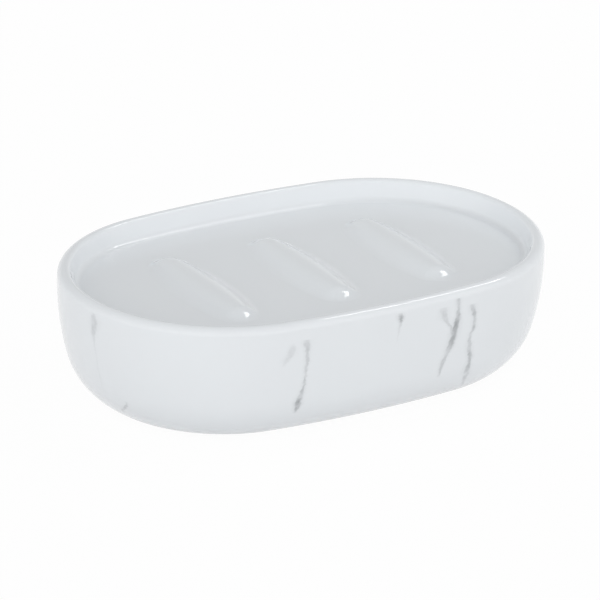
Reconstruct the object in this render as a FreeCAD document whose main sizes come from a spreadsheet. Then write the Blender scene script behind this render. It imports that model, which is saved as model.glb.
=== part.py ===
import FreeCAD, Part
import math
import os

import Sketcher
from FreeCAD import Vector

# Glazed ceramic soap dish: a hollow cast body with a shallow ribbed tray,
# standing on four soft pads, with a stopper in its vent hole.
# Millimetres. The origin is on the surface that the dish stands on, under the
# middle of the dish. +X runs along its length, +Z is up.

# Driving sizes. Every length is set once here, and the model reads it from the sheet.
DRIVING_SIZES = {
    # Outline, seen from above at its widest level
    "dish_length": 135.0,
    "dish_width": 88.5,
    "side_bow": 1.35,  # how far the long sides bow out past the round ends
    # Outer wall, from the surface up
    "dish_height": 34.3,
    "pad_stand": 0.8,  # gap that the pads keep between the surface and the base
    "base_inset": 10.6,  # how far in the wall has come where it meets the base
    "base_edge_radius": 1.6,
    "turn_height": 11.8,  # level where the wall starts to turn under
    "turn_inset": 2.35,
    "bulge_drop": 4.5,  # widest level, below the rim
    "wall_thickness": 4.0,
    "base_thickness": 4.0,
    # Rim and tray
    "rim_outer_radius": 2.2,
    "rim_inner_radius": 1.3,
    "tray_wall_angle": 74.0,
    "cove_radius": 2.0,
    "tray_depth": 5.6,
    "floor_thickness": 4.0,
    # Cavity inside the cast body
    "cavity_top_radius": 3.0,
    "cavity_turn_radius": 10.0,
    # Ribs that carry the soap
    "rib_count": 3,
    "rib_pitch": 30.0,
    "rib_height": 2.2,
    "rib_flank_angle": 26.0,
    "rib_crown_radius": 10.0,
    "rib_foot_radius": 8.0,
    "ridge_width": 0.8,  # flat strip on top of a rib
    "ridge_end_gap": 25.95,  # from the strip's tip to the dish's widest outline
    # Underside: foot band, vent hole and seats of the pads
    "foot_rise": 1.0,  # how far the middle of the base lies above the foot band
    "vent_diameter": 7.0,
    "pad_diameter": 9.0,
    "pad_seat_depth": 0.7,
    "pad_clearance": 0.15,
    "pad_margin": 2.5,  # from a pad's seat to each edge of the foot band
    "pad_edge_radius": 0.3,
    "pad_bearing": 45.0,  # where the pads lie round the ends, from the dish's length
    # Stopper of the vent hole
    "plug_clearance": 0.1,
    "plug_lip": 2.5,  # how far the stopper's head covers the base round the hole
    "plug_head": 1.2,
    "plug_barb": 0.6,  # how far the barb stands out past the hole
    "plug_barb_height": 2.0,
    "plug_nose": 1.2,  # how far the barb tapers in towards its tip
    "cut_overrun": 2.0,
}

# Shares that limit roundings by the wall that they are cut in
CAVITY_TOP_SHARE = 0.2
CAVITY_TURN_SHARE = 0.52
RIB_FOOT_SHARE = 0.45
PAD_EDGE_SHARE = 0.4

# A rib seen from above: how far its flank reaches at the tips, as a share of its
# reach at the sides, and how far its sides bow out, as a share of its half width
RIB_TIP_SHARE = 0.71
RIB_BOW_SHARE = 0.25

# How near two levels lie when they are the same
NEARNESS = 0.001

doc = FreeCAD.newDocument("soap_dish")
sheet = doc.addObject("Spreadsheet::Sheet", "Sizes")
for row, (alias, value) in enumerate(DRIVING_SIZES.items(), start=1):
    sheet.set(f"A{row}", alias)
    sheet.set(f"B{row}", str(value))
    sheet.setAlias(f"B{row}", alias)
doc.recompute()


def cell(alias):
    """The rule that reads one driving size."""
    return f"Sizes.{alias}"


def number(rule):
    """The value of a rule now, in millimetres or degrees."""
    result = sheet.evalExpression(rule)
    return float(getattr(result, "Value", result))


# Rules worked out from the driving sizes. Each is text that the objects are bound to.
def outline_rules(half_length, half_width, bow):
    """The rules of an outline of four arcs: end radius, end centre, side radius, side centre."""
    end_radius = f"({half_width} - {bow})"
    end_centre = f"({half_length} - {end_radius})"
    side_radius = f"(({end_centre}^2 + {half_width}^2 - {end_radius}^2) / (2 * {bow}))"
    side_centre = f"({side_radius} - {half_width})"
    return end_radius, end_centre, side_radius, side_centre


HALF_WIDTH = f"({cell('dish_width')} / 2)"
DISH_OUTLINE = outline_rules(f"({cell('dish_length')} / 2)", HALF_WIDTH, cell("side_bow"))
END_RADIUS, END_CENTRE, SIDE_RADIUS, SIDE_CENTRE = DISH_OUTLINE
SIDE_HALF_ANGLE = f"atan({END_CENTRE} / {SIDE_CENTRE})"

BASE_LEVEL = cell("pad_stand")
CAVITY_FLOOR = f"({BASE_LEVEL} + {cell('base_thickness')})"
TRAY_FLOOR = f"({cell('dish_height')} - {cell('tray_depth')})"
CAVITY_ROOF = f"({TRAY_FLOOR} - {cell('floor_thickness')})"
CAVITY_HEIGHT = f"({CAVITY_ROOF} - {CAVITY_FLOOR})"
WIDEST_LEVEL = f"({cell('dish_height')} - {cell('bulge_drop')})"
BULGE_RISE = f"({WIDEST_LEVEL} - {cell('turn_height')})"
BULGE_RADIUS = f"(({BULGE_RISE}^2 + {cell('turn_inset')}^2) / (2 * {cell('turn_inset')}))"
CAVITY_SIDE_RADIUS = f"({BULGE_RADIUS} - {cell('wall_thickness')})"
CAVITY_TOP_RADIUS = f"min({cell('cavity_top_radius')}; {CAVITY_HEIGHT} * {CAVITY_TOP_SHARE})"
CAVITY_TURN_RADIUS = f"min({cell('cavity_turn_radius')}; {CAVITY_HEIGHT} * {CAVITY_TURN_SHARE})"

RIM_SUM = f"({cell('rim_inner_radius')} + {cell('cove_radius')})"
TRAY_ANGLE = f"({cell('tray_wall_angle')} * 1 deg)"
OUTER_RISE = f"({cell('bulge_drop')} - {cell('rim_outer_radius')})"
CREST_INSET = f"({BULGE_RADIUS} - sqrt(({BULGE_RADIUS} - {cell('rim_outer_radius')})^2 - {OUTER_RISE}^2))"
SLOPE_RISE = f"({cell('tray_depth')} - {RIM_SUM} * (1 - cos({TRAY_ANGLE})))"
FLOOR_INSET = f"({CREST_INSET} + {RIM_SUM} * sin({TRAY_ANGLE}) + {SLOPE_RISE} / tan({TRAY_ANGLE}))"
RIB_SPAN = f"({cell('rib_pitch')} * ({cell('rib_count')} - 1))"
RIB_ANGLE = f"({cell('rib_flank_angle')} * 1 deg)"
RIB_FOOT_LIMIT = f"{cell('rib_height')} * {RIB_FOOT_SHARE} / (1 - cos({RIB_ANGLE}))"
RIB_FOOT_RADIUS = f"min({cell('rib_foot_radius')}; {RIB_FOOT_LIMIT})"
RIDGE_HALF_LENGTH = f"({HALF_WIDTH} - {cell('ridge_end_gap')})"

PAD_SEAT_RADIUS = f"({cell('pad_diameter')} / 2 + {cell('pad_clearance')})"
FOOT_INSET = f"({cell('base_inset')} + 2 * {cell('pad_margin')} + 2 * {PAD_SEAT_RADIUS})"
PAD_REACH = f"({END_RADIUS} - {cell('base_inset')} - {cell('pad_margin')} - {PAD_SEAT_RADIUS})"
PAD_X = f"({END_CENTRE} + {PAD_REACH} * cos({cell('pad_bearing')} * 1 deg))"
PAD_Y = f"({PAD_REACH} * sin({cell('pad_bearing')} * 1 deg))"
PAD_THICKNESS = f"({cell('pad_seat_depth')} + {cell('pad_stand')})"
PAD_EDGE_RADIUS = f"min({cell('pad_edge_radius')}; {PAD_THICKNESS} * {PAD_EDGE_SHARE})"
PANEL_LEVEL = f"({BASE_LEVEL} + {cell('foot_rise')})"
VENT_RADIUS = f"({cell('vent_diameter')} / 2)"
BARB_FOOT = f"({CAVITY_FLOOR} + {cell('plug_clearance')})"


def origin_plane(body, role):
    """One of the body's own origin planes."""
    return next(feature for feature in body.Origin.OriginFeatures if feature.Role == role)


def sketch_on(body, name, role, level=None):
    """A sketch on one of the body's origin planes, lifted along the plane's normal by a rule."""
    sketch = body.newObject("Sketcher::SketchObject", name)
    sketch.AttachmentSupport = [(origin_plane(body, role), "")]
    sketch.MapMode = "FlatFace"
    if level is not None:
        sketch.setExpression("AttachmentOffset.Base.z", level)
    doc.recompute()
    return sketch


def bound(sketch, rule, kind, *where):
    """Add a dimension to a sketch and bind it to a rule."""
    value = number(rule)
    if kind == "Angle":
        value = math.radians(value)
    index = sketch.addConstraint(Sketcher.Constraint(kind, *where, value))
    sketch.setExpression(f"Constraints[{index}]", rule)


def arc(centre, radius, start, end):
    """A counter-clockwise arc between two points, given by its centre."""
    angles = [math.atan2(point.y - centre.y, point.x - centre.x) for point in (start, end)]
    if angles[1] < angles[0]:
        angles[1] += 2 * math.pi
    return Part.ArcOfCircle(Part.Circle(centre, Vector(0, 0, 1), radius), *angles)


def towards(centre, other, distance):
    """The point at a distance from centre, on the ray through other."""
    ray = other - centre
    return centre + ray * (distance / ray.Length)


def beside(centre, distance, level):
    """The point on a circle round centre, on its outer side, at a level."""
    return Vector(centre.x + math.sqrt(distance**2 - (level - centre.y) ** 2), level)


# Sketch positions of an edge: its start, its end and its centre
START, END, CENTRE = 1, 2, 3
# Sketch numbers of the origin and the vertical axis
ORIGIN, UPRIGHT = -1, -2


def draw_wall_section(sketch, radius_rule, inner_rule):
    """Draw the section through wall, rim, tray, cavity and base.

    The sketch's vertical axis is the axis of the round stretch of wall, and
    radius_rule gives the radius of the outline there. The section reaches in
    to inner_rule, or to the axis where that is None.
    """
    radius = number(radius_rule)
    inner = number(inner_rule) if inner_rule else 0
    base, cavity_floor, cavity_roof, tray_floor = (
        number(rule) for rule in (BASE_LEVEL, CAVITY_FLOOR, CAVITY_ROOF, TRAY_FLOOR)
    )
    top = number(cell("dish_height"))
    angle = math.radians(number(cell("tray_wall_angle")))

    # Outer wall: the bulge touches the widest point and passes the turn, and the
    # curve under it runs on to the corner of the base.
    bulge_radius = number(BULGE_RADIUS)
    widest = Vector(radius, number(WIDEST_LEVEL))
    bulge = widest - Vector(bulge_radius, 0)
    turn = Vector(radius - number(cell("turn_inset")), number(cell("turn_height")))
    corner = Vector(radius - number(cell("base_inset")), base)
    inward = (bulge - turn) / bulge_radius
    under_radius = (corner - turn).dot(corner - turn) / (2 * (corner - turn).dot(inward))
    under = turn + inward * under_radius
    edge_radius = number(cell("base_edge_radius"))
    edge = beside(under, under_radius - edge_radius, base + edge_radius)
    under_start = towards(under, edge, under_radius)
    base_end = Vector(edge.x, base)

    # Rim: two roundings that meet at the crest, then the sloping wall and the cove.
    rim_outer = number(cell("rim_outer_radius"))
    rim_inner = number(cell("rim_inner_radius"))
    cove_radius = number(cell("cove_radius"))
    outer = beside(bulge, bulge_radius - rim_outer, top - rim_outer)
    bulge_end = towards(bulge, outer, bulge_radius)
    crest = Vector(outer.x, top)
    inner_round = Vector(crest.x, top - rim_inner)
    normal = Vector(-math.sin(angle), math.cos(angle))
    slope_top = inner_round + normal * rim_inner
    slope_foot_level = tray_floor + cove_radius * (1 - math.cos(angle))
    slope_run = (slope_top.y - slope_foot_level) / math.tan(angle)
    slope_foot = Vector(slope_top.x - slope_run, slope_foot_level)
    cove = slope_foot + normal * cove_radius
    floor_edge = Vector(cove.x, tray_floor)

    # Cavity: its side keeps the wall's thickness from the bulge.
    side_radius = number(CAVITY_SIDE_RADIUS)
    top_radius = number(CAVITY_TOP_RADIUS)
    turn_radius = number(CAVITY_TURN_RADIUS)
    roof_round = beside(bulge, side_radius - top_radius, cavity_roof - top_radius)
    floor_round = beside(bulge, side_radius - turn_radius, cavity_floor + turn_radius)
    side_top = towards(bulge, roof_round, side_radius)
    side_foot = towards(bulge, floor_round, side_radius)

    names = []

    def add(name, geometry, construction=False):
        names.append(name)
        sketch.addGeometry(geometry, construction)

    def line(name, start, end):
        add(name, Part.LineSegment(start, end))

    line("base", Vector(inner, base), base_end)
    add("edge", arc(edge, edge_radius, base_end, under_start))
    add("under", arc(under, under_radius, under_start, turn))
    add("bulge", arc(bulge, bulge_radius, turn, bulge_end))
    add("rim_outer", arc(outer, rim_outer, bulge_end, crest))
    add("rim_inner", arc(inner_round, rim_inner, crest, slope_top))
    line("slope", slope_foot, slope_top)
    add("cove", arc(cove, cove_radius, floor_edge, slope_foot))
    line("floor", Vector(inner, tray_floor), floor_edge)
    line("floor_end", Vector(inner, cavity_roof), Vector(inner, tray_floor))
    line("roof", Vector(inner, cavity_roof), Vector(roof_round.x, cavity_roof))
    add("roof_round", arc(roof_round, top_radius, side_top, Vector(roof_round.x, cavity_roof)))
    add("side", arc(bulge, side_radius, side_foot, side_top))
    add("floor_round", arc(floor_round, turn_radius, Vector(floor_round.x, cavity_floor), side_foot))
    line("cavity_floor", Vector(inner, cavity_floor), Vector(floor_round.x, cavity_floor))
    line("base_end", Vector(inner, base), Vector(inner, cavity_floor))
    add("widest", Part.Point(widest), True)
    add("corner", Part.Point(corner), True)
    g = {name: index for index, name in enumerate(names)}

    def tie(kind, *where):
        sketch.addConstraint(Sketcher.Constraint(kind, *where))

    for first, first_end, second, second_end in (
        ("base", END, "edge", START),
        ("edge", END, "under", START),
        ("under", END, "bulge", START),
        ("bulge", END, "rim_outer", START),
        ("rim_outer", END, "rim_inner", START),
        ("rim_inner", END, "slope", END),
        ("slope", START, "cove", END),
        ("cove", START, "floor", END),
        ("roof", END, "roof_round", END),
        ("roof_round", START, "side", END),
        ("side", START, "floor_round", END),
        ("floor_round", START, "cavity_floor", END),
    ):
        tie("Tangent", g[first], first_end, g[second], second_end)
    for first, first_end, second, second_end in (
        ("floor", START, "floor_end", END),
        ("floor_end", START, "roof", START),
        ("cavity_floor", START, "base_end", END),
        ("base_end", START, "base", START),
        ("side", CENTRE, "bulge", CENTRE),
    ):
        tie("Coincident", g[first], first_end, g[second], second_end)
    for name in ("base", "floor", "roof", "cavity_floor"):
        tie("Horizontal", g[name])
    for name in ("floor_end", "base_end"):
        tie("Vertical", g[name])
        if inner_rule:
            bound(sketch, inner_rule, "DistanceX", ORIGIN, START, g[name], START)
        else:
            tie("PointOnObject", g[name], START, UPRIGHT)
    tie("Vertical", g["rim_outer"], CENTRE, g["rim_outer"], END)
    tie("Horizontal", g["bulge"], CENTRE, g["widest"], START)
    tie("PointOnObject", g["widest"], START, g["bulge"])
    tie("PointOnObject", g["corner"], START, g["base"])
    tie("PointOnObject", g["corner"], START, g["under"])

    for name, position, level_rule in (
        ("base", START, BASE_LEVEL),
        ("cavity_floor", START, CAVITY_FLOOR),
        ("roof", START, CAVITY_ROOF),
        ("floor", START, TRAY_FLOOR),
        ("rim_outer", END, cell("dish_height")),
        ("widest", START, WIDEST_LEVEL),
        ("under", END, cell("turn_height")),
    ):
        bound(sketch, level_rule, "DistanceY", ORIGIN, START, g[name], position)
    for name, position, inset_rule in (
        ("widest", START, None),
        ("under", END, cell("turn_inset")),
        ("corner", START, cell("base_inset")),
    ):
        rule = f"{radius_rule} - {inset_rule}" if inset_rule else radius_rule
        bound(sketch, rule, "DistanceX", ORIGIN, START, g[name], position)
    for name, rule in (
        ("edge", cell("base_edge_radius")),
        ("rim_outer", cell("rim_outer_radius")),
        ("rim_inner", cell("rim_inner_radius")),
        ("cove", cell("cove_radius")),
        ("roof_round", CAVITY_TOP_RADIUS),
        ("floor_round", CAVITY_TURN_RADIUS),
        ("side", CAVITY_SIDE_RADIUS),
    ):
        bound(sketch, rule, "Radius", g[name])
    bound(sketch, cell("tray_wall_angle"), "Angle", g["slope"])


def draw_outline(sketch, outline, inset_rule="0"):
    """Draw an outline from its rules, moved in by another: two end arcs and two side arcs."""
    end_radius_rule, end_centre_rule, side_radius_rule, side_centre_rule = outline
    inset = number(inset_rule)
    end_radius = number(end_radius_rule) - inset
    side_radius = number(side_radius_rule) - inset
    end_x = number(end_centre_rule)
    side_y = number(side_centre_rule)
    reach = Vector(end_x, side_y) * (side_radius / math.hypot(end_x, side_y))
    joint = reach - Vector(0, side_y)
    corners = [Vector(joint.x * sx, joint.y * sy) for sx, sy in ((1, -1), (1, 1), (-1, 1), (-1, -1))]
    centres = [Vector(end_x, 0), Vector(0, -side_y), Vector(-end_x, 0), Vector(0, side_y)]
    radii = [end_radius, side_radius, end_radius, side_radius]
    for index in range(4):
        start, end = corners[index], corners[(index + 1) % 4]
        sketch.addGeometry(arc(centres[index], radii[index], start, end), False)
    for index in range(4):
        sketch.addConstraint(Sketcher.Constraint("Tangent", index, END, (index + 1) % 4, START))
    for end, sign in ((0, 1), (2, -1)):
        sketch.addConstraint(Sketcher.Constraint("PointOnObject", end, CENTRE, ORIGIN))
        bound(sketch, f"{sign} * {end_centre_rule}", "DistanceX", ORIGIN, START, end, CENTRE)
        bound(sketch, f"{end_radius_rule} - {inset_rule}", "Radius", end)
    for side in (1, 3):
        bound(sketch, f"{side_radius_rule} - {inset_rule}", "Radius", side)


def new_body(name):
    body = doc.addObject("PartDesign::Body", name)
    body.Label = name
    doc.recompute()
    return body


def revolve(body, name, sketch, angle_rule=None):
    """Revolve a section about its sketch's vertical axis, to both sides of its plane alike."""
    feature = body.newObject("PartDesign::Revolution", name)
    feature.Profile = sketch
    feature.ReferenceAxis = (sketch, ["V_Axis"])
    if angle_rule:
        feature.Midplane = True
        feature.setExpression("Angle", angle_rule)
    else:
        feature.Angle = 360
    doc.recompute()
    return feature


def mirror(body, name, feature, role):
    """Mirror a feature in one of the body's origin planes."""
    copy = body.newObject("PartDesign::Mirrored", name)
    copy.Originals = [feature]
    copy.MirrorPlane = (origin_plane(body, role), [""])
    body.Tip = copy
    doc.recompute()
    return copy


def pocket(body, name, sketch, depth_rule):
    """Cut upwards from a sketch that faces up, and make sure that it cuts."""
    before = body.Shape.Volume
    feature = body.newObject("PartDesign::Pocket", name)
    feature.Profile = sketch
    feature.Reversed = True
    feature.setExpression("Length", depth_rule)
    doc.recompute()
    assert feature.Shape.Volume < before, f"{name} cuts nothing"
    return feature


# Dish body: the round ends and the bowed sides are turned about their own axes
dish = new_body("dish_body")

end_section = sketch_on(dish, "end_section", "XZ_Plane")
end_section.setExpression("AttachmentOffset.Base.x", END_CENTRE)
draw_wall_section(end_section, END_RADIUS, None)
side_section = sketch_on(dish, "side_section", "YZ_Plane")
side_section.setExpression("AttachmentOffset.Base.x", f"-{SIDE_CENTRE}")
draw_wall_section(side_section, SIDE_RADIUS, SIDE_CENTRE)
doc.recompute()

right_end = revolve(dish, "right_end", end_section, f"180 deg - 2 * {SIDE_HALF_ANGLE}")
back_side = revolve(dish, "back_side", side_section, f"2 * {SIDE_HALF_ANGLE}")
mirror(dish, "left_end", right_end, "YZ_Plane")
mirror(dish, "front_side", back_side, "XZ_Plane")

# Ribs: low rounded ridges across the tray. A rib's flank starts at the floor, and its
# crown is an arc: each level of them is a lens whose reach from the ridge is a rule.
crown_reach = f"{cell('rib_crown_radius')} * sin({RIB_ANGLE})"
crown_rise = f"({cell('rib_height')} - {cell('rib_crown_radius')} * (1 - cos({RIB_ANGLE})))"
crown_middle_reach = f"{cell('rib_crown_radius')} * sin({RIB_ANGLE} / 2)"
crown_middle_rise = f"({cell('rib_height')} - {cell('rib_crown_radius')} * (1 - cos({RIB_ANGLE} / 2)))"
RIB_LEVELS = [
    ("rib_foot_sketch", f"({crown_reach} + {crown_rise} / tan({RIB_ANGLE}))", "0"),
    ("rib_crown_sketch", f"({crown_reach})", crown_rise),
    ("rib_crown_middle_sketch", f"({crown_middle_reach})", crown_middle_rise),
    ("ridge_sketch", "0", cell("rib_height")),
]

rib_sections = []
for sketch_name, reach, rise in RIB_LEVELS:
    rib_section = sketch_on(dish, sketch_name, "XY_Plane", f"{TRAY_FLOOR} + {rise}")
    rib_section.setExpression("AttachmentOffset.Base.x", f"-{RIB_SPAN} / 2")
    rib_section.setExpression("AttachmentOffset.Rotation.Angle", "90 deg")
    half_width = f"({cell('ridge_width')} / 2 + {reach})"
    half_length = f"({RIDGE_HALF_LENGTH} + {RIB_TIP_SHARE} * {reach})"
    draw_outline(rib_section, outline_rules(half_length, half_width, f"({half_width} * {RIB_BOW_SHARE})"))
    rib_sections.append(rib_section)
doc.recompute()
first_rib = dish.newObject("PartDesign::AdditiveLoft", "first_rib")
first_rib.Profile = rib_sections[0]
first_rib.Sections = rib_sections[1:]
doc.recompute()

ribs = dish.newObject("PartDesign::LinearPattern", "ribs")
ribs.Originals = [first_rib]
ribs.Direction = (end_section, ["H_Axis"])
ribs.setExpression("Length", RIB_SPAN)
ribs.setExpression("Occurrences", cell("rib_count"))
dish.Tip = ribs
doc.recompute()


def level_edges(shape, level, half_width, half_length):
    """The edges at one level that lie inside a rectangle round the middle of the dish."""
    found = []
    for index, edge in enumerate(shape.Edges, start=1):
        box = edge.BoundBox
        flat = abs(box.ZMin - level) < NEARNESS and abs(box.ZMax - level) < NEARNESS
        if flat and max(box.XMax, -box.XMin) < half_length and max(box.YMax, -box.YMin) < half_width:
            found.append(f"Edge{index}")
    return found


def rounding(body, name, edges, radius_rule):
    """Round some edges of the body's last feature."""
    assert edges, f"{name} finds no edge"
    base = body.Tip
    feature = body.newObject("PartDesign::Fillet", name)
    feature.Base = (base, edges)
    feature.setExpression("Radius", radius_rule)
    doc.recompute()
    return feature


floor_half_width = number(HALF_WIDTH) - number(FLOOR_INSET)
floor_half_length = number(cell("dish_length")) / 2 - number(FLOOR_INSET)
rib_feet = level_edges(ribs.Shape, number(TRAY_FLOOR), floor_half_width, floor_half_length)
rounding(dish, "rib_feet", rib_feet, RIB_FOOT_RADIUS)

# Underside: the middle of the base is raised, which leaves a foot band round it
panel_sketch = sketch_on(dish, "panel_sketch", "XY_Plane", BASE_LEVEL)
draw_outline(panel_sketch, DISH_OUTLINE, FOOT_INSET)
pocket(dish, "base_panel", panel_sketch, cell("foot_rise"))


def circle(sketch, x_rule, y_rule, radius_rule):
    """Draw a circle; a centre rule of None keeps the centre on the origin."""
    centre = Vector(number(x_rule), number(y_rule)) if x_rule else Vector()
    index = sketch.addGeometry(Part.Circle(centre, Vector(0, 0, 1), number(radius_rule)), False)
    if x_rule:
        bound(sketch, x_rule, "DistanceX", ORIGIN, START, index, CENTRE)
        bound(sketch, y_rule, "DistanceY", ORIGIN, START, index, CENTRE)
    else:
        sketch.addConstraint(Sketcher.Constraint("Coincident", index, CENTRE, ORIGIN, START))
    bound(sketch, radius_rule, "Radius", index)


# Where the four pads lie: a name and the sides of the dish
PAD_PLACES = [
    ("pad_front_left", -1, -1),
    ("pad_front_right", 1, -1),
    ("pad_back_left", -1, 1),
    ("pad_back_right", 1, 1),
]

seat_sketch = sketch_on(dish, "seat_sketch", "XY_Plane", BASE_LEVEL)
for _, side_x, side_y in PAD_PLACES:
    circle(seat_sketch, f"{side_x} * {PAD_X}", f"{side_y} * {PAD_Y}", PAD_SEAT_RADIUS)
pocket(dish, "pad_seats", seat_sketch, cell("pad_seat_depth"))

vent_sketch = sketch_on(dish, "vent_sketch", "XY_Plane", PANEL_LEVEL)
circle(vent_sketch, None, None, VENT_RADIUS)
pocket(dish, "vent_hole", vent_sketch, f"{CAVITY_FLOOR} - {PANEL_LEVEL} + {cell('cut_overrun')}")

# Non-slip pads: discs that fill their seats and stand out below the base
pieces = [dish]
for pad_name, side_x, side_y in PAD_PLACES:
    pad = new_body(pad_name)
    disc_sketch = sketch_on(pad, f"{pad_name}_sketch", "XY_Plane")
    circle(disc_sketch, None, None, f"{cell('pad_diameter')} / 2")
    disc = pad.newObject("PartDesign::Pad", f"{pad_name}_disc")
    disc.Profile = disc_sketch
    disc.setExpression("Length", PAD_THICKNESS)
    doc.recompute()
    pad_reach = number(cell("pad_diameter"))
    rounding(pad, f"{pad_name}_edge", level_edges(disc.Shape, 0, pad_reach, pad_reach), PAD_EDGE_RADIUS)
    pad.setExpression("Placement.Base.x", f"{side_x} * {PAD_X}")
    pad.setExpression("Placement.Base.y", f"{side_y} * {PAD_Y}")
    pieces.append(pad)

# Stopper of the vent hole: a flat head under the base, a stem in the hole and a barb above it
plug = new_body("vent_plug")
plug_sketch = sketch_on(plug, "plug_sketch", "XZ_Plane")
head_radius_rule = f"{VENT_RADIUS} + {cell('plug_lip')}"
stem_radius_rule = f"{VENT_RADIUS} - {cell('plug_clearance')}"
barb_radius_rule = f"{VENT_RADIUS} + {cell('plug_barb')}"
tip_radius_rule = f"{VENT_RADIUS} + {cell('plug_barb')} - {cell('plug_nose')}"
head_level_rule = f"{PANEL_LEVEL} - {cell('plug_head')}"
tip_level_rule = f"{BARB_FOOT} + {cell('plug_barb_height')}"
plug_corners = [
    (None, head_level_rule),
    (head_radius_rule, head_level_rule),
    (head_radius_rule, PANEL_LEVEL),
    (stem_radius_rule, PANEL_LEVEL),
    (stem_radius_rule, BARB_FOOT),
    (barb_radius_rule, BARB_FOOT),
    (tip_radius_rule, tip_level_rule),
    (None, tip_level_rule),
]
plug_points = [Vector(number(rule) if rule else 0, number(level)) for rule, level in plug_corners]
corner_count = len(plug_corners)
for index, start in enumerate(plug_points):
    end = plug_points[(index + 1) % corner_count]
    plug_sketch.addGeometry(Part.LineSegment(start, end), False)
for index, (radius_rule, level_rule) in enumerate(plug_corners):
    following = (index + 1) % corner_count
    plug_sketch.addConstraint(Sketcher.Constraint("Coincident", index, END, following, START))
    if radius_rule:
        bound(plug_sketch, radius_rule, "DistanceX", ORIGIN, START, index, START)
    else:
        plug_sketch.addConstraint(Sketcher.Constraint("PointOnObject", index, START, UPRIGHT))
    bound(plug_sketch, level_rule, "DistanceY", ORIGIN, START, index, START)
revolve(plug, "plug_turning", plug_sketch)
pieces.append(plug)

doc.recompute()

# Each piece is one sound solid before anything is written
for item in doc.Objects:
    assert not {"Invalid", "Error"} & set(item.State), f"{item.Name} failed"
    if item.isDerivedFrom("Sketcher::SketchObject"):
        assert item.FullyConstrained, f"{item.Name} is loose"
for piece in pieces:
    shape = piece.Shape
    assert not shape.isNull() and shape.isValid(), f"{piece.Label} has no sound shape"
    assert len(shape.Solids) == 1, f"{piece.Label} is not one solid"

os.makedirs("parts", exist_ok=True)
for piece in pieces:
    piece.Shape.exportStep(f"parts/{piece.Label}.step")
    print(piece.Label, round(piece.Shape.Volume), "mm3")
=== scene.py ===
# %% [markdown]
# # A glazed soap dish
# This lesson dresses a ceramic soap dish: a hollow cast body with a shallow ribbed
# tray, four soft pads under it and a stopper in its vent hole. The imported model
# says where each piece is and how large. Here the pieces get their finished
# surfaces: a deep white glaze, grey marble veins printed on the outer wall, bare
# fired clay where the dish stands, and soft silicone underneath.
#
# We start from the frame, so that every piece goes where the model says.

# %% Load the frame
import math
import random

import bmesh
import bpy
from mathutils import Matrix, Vector
from mathutils.geometry import delaunay_2d_cdt


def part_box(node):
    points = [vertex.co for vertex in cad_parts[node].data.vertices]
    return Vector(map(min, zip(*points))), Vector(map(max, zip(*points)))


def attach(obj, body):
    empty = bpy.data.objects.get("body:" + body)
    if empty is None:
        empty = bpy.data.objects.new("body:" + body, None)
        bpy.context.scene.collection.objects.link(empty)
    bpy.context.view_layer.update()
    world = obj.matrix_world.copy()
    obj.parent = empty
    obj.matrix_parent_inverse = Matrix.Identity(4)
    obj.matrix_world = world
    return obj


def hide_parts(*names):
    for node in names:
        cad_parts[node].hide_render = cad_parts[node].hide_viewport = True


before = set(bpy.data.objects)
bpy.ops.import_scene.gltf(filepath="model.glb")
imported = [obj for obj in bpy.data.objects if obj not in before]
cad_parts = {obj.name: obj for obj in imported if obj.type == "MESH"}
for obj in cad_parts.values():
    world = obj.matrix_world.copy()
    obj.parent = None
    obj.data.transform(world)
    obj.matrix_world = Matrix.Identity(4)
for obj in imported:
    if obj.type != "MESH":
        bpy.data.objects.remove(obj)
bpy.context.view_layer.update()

MM = 0.001
UP = math.pi / 2
WHOLE_TURN = 2 * math.pi
dish_low, dish_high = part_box("dish_body")
print("dish body, mm:", [round((high - low) / MM, 1) for low, high in zip(dish_low, dish_high)])

# %% [markdown]
# ## The plan of the dish
# Seen from above, the outline is four arcs that run smoothly into each other: two
# round ends, and two long sides that bow out a little. A step inwards shortens each
# arc's radius and keeps its centre, so every ring of the wall, however far in it
# lies, uses the same stations. A scaled copy of one outline would not do: it would
# change the wall's thickness round the corners.

# %% Stations round the outline
SIDE_BOW = 1.35 * MM
END_STEPS = 112
SIDE_STEPS = 32

half_length, half_width, rim_level = dish_high
base_level = dish_low[2]


def outline_stations(half_long, half_wide, bow, end_steps, side_steps):
    """Stations anticlockwise from the middle of the back.

    Each is an arc's centre, a direction from it, its radius, and the way along the outline.
    """
    end_radius = half_wide - bow
    end_centre = half_long - end_radius
    side_radius = (end_centre**2 + half_wide**2 - end_radius**2) / (2 * bow)
    side_centre = side_radius - half_wide
    side_angle = math.atan2(end_centre, side_centre)
    joints = [UP, UP + side_angle, 3 * UP - side_angle, 3 * UP + side_angle, 5 * UP - side_angle, 5 * UP]
    centres = [(0, -side_centre), (-end_centre, 0), (0, side_centre), (end_centre, 0), (0, -side_centre)]
    radii = [side_radius, end_radius, side_radius, end_radius, side_radius]
    steps = [side_steps // 2, end_steps, side_steps, end_steps, side_steps // 2]
    found, way = [], 0
    for centre, radius, first, last, count in zip(centres, radii, joints, joints[1:], steps):
        for step in range(count):
            angle = first + (last - first) * step / count
            direction = Vector((math.cos(angle), math.sin(angle)))
            found.append((Vector(centre), direction, radius, way + radius * (angle - first)))
        way += radius * (last - first)
    return found, way


stations, way_round = outline_stations(half_length, half_width, SIDE_BOW, END_STEPS, SIDE_STEPS)
print(len(stations), "stations on an outline of", round(way_round / MM, 1), "mm")

# %% [markdown]
# ## The section of the wall
# One section, swept round the outline, gives the outer wall, the rim and the slope
# into the tray. It is a chain of arcs, each tangent to the next, because a glaze
# shows every kink as a line in its reflection. A point in the section is a pair:
# how far in from the widest outline, and at what level.
#
# The outer wall bulges to its widest just below the rim, turns under near the
# base, and ends in a small rounding that the dish stands on.

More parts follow.
